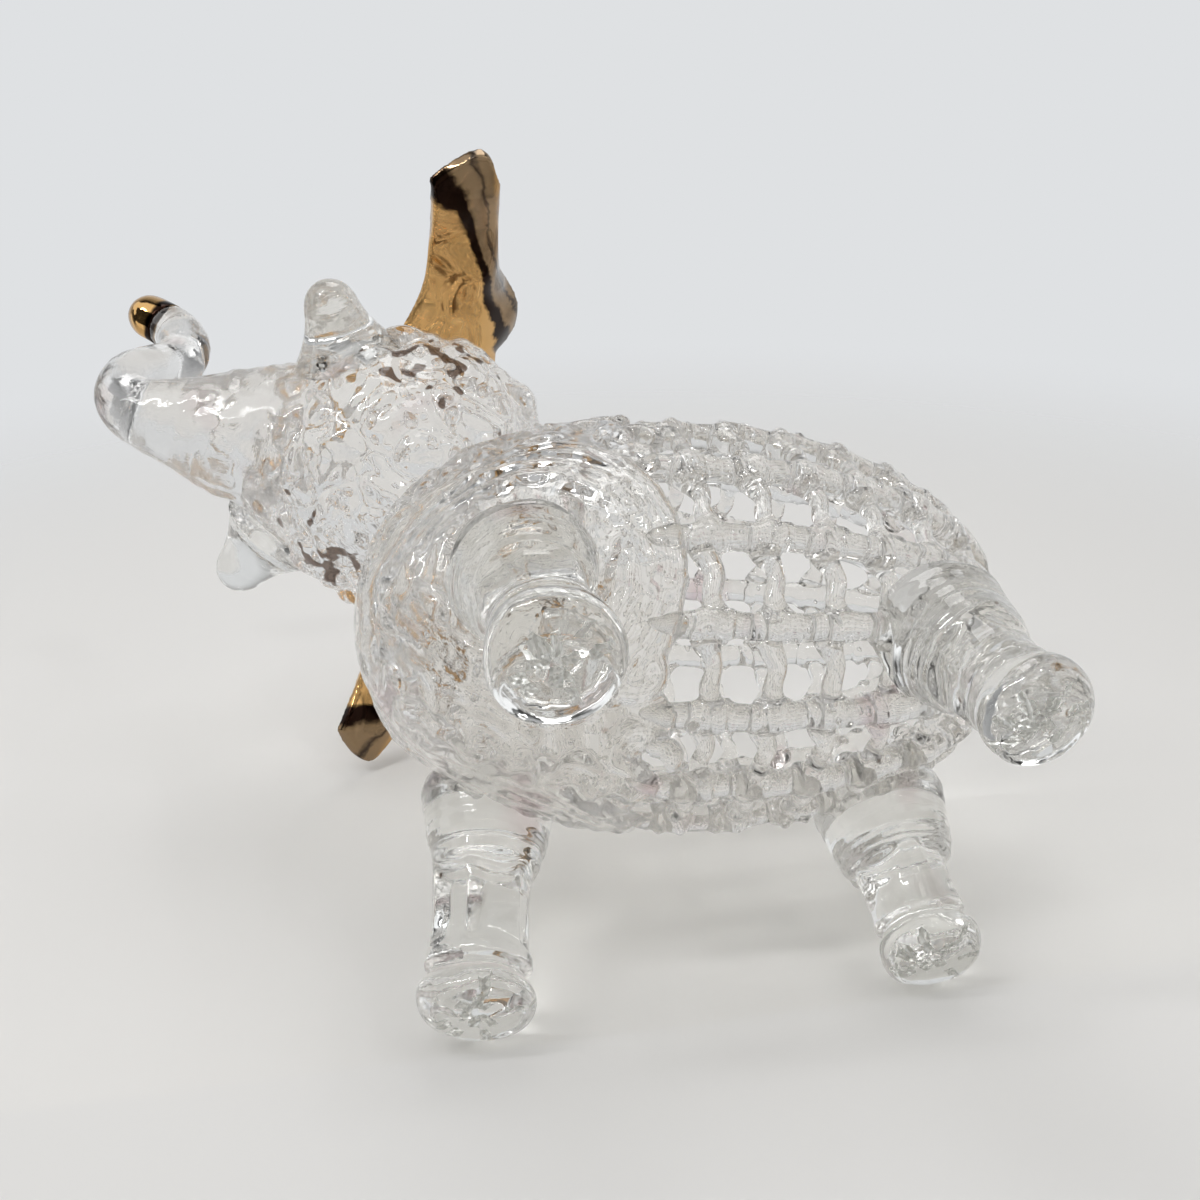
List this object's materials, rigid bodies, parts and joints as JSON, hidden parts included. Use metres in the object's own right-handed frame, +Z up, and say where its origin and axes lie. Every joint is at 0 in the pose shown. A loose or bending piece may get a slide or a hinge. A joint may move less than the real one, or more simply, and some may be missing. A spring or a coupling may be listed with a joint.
{
  "type": "glass elephant figurine",
  "caption": "Standing clear glass elephant ornament with an open lattice body, wound chest and legs, raised trunk and gilt ears.",
  "frame": {"origin": "on the surface that the four feet stand on, under the middle of the bounding box", "axes": "+Z up, -Y the way the elephant faces, +X its left side"},
  "size_m": [0.0876, 0.1096, 0.1079],
  "materials": {
    "clear_glass": "fire-polished clear soda-lime glass",
    "spun_glass": "wound and drawn clear glass rod, with flow lines and small bubbles",
    "gilt_glass": "gold lustre fired onto clear glass"
  },
  "bodies": {
    "root": {"lattice_course_01": "spun_glass", "lattice_course_02": "spun_glass", "lattice_course_03": "spun_glass", "lattice_course_04": "spun_glass", "lattice_course_05": "spun_glass", "lattice_course_06": "spun_glass", "lattice_course_07": "spun_glass", "lattice_course_08": "spun_glass", "lattice_course_09": "spun_glass", "lattice_course_10": "spun_glass", "lattice_course_11": "spun_glass", "lattice_course_12": "spun_glass", "lattice_course_13": "spun_glass", "lattice_course_14": "spun_glass", "lattice_course_15": "spun_glass", "wound_chest": "spun_glass", "wound_rump": "spun_glass", "front_left_foot": "clear_glass", "front_left_shank": "clear_glass", "front_left_thigh": "spun_glass", "front_right_foot": "clear_glass", "front_right_shank": "clear_glass", "front_right_thigh": "spun_glass", "rear_left_foot": "clear_glass", "rear_left_shank": "clear_glass", "rear_left_thigh": "spun_glass", "rear_right_foot": "clear_glass", "rear_right_shank": "clear_glass", "rear_right_thigh": "spun_glass", "head": "spun_glass", "trunk": "clear_glass", "trunk_tip": "gilt_glass", "left_tusk": "clear_glass", "right_tusk": "clear_glass", "left_ear": "gilt_glass", "right_ear": "gilt_glass"}
  },
  "joints": []
}
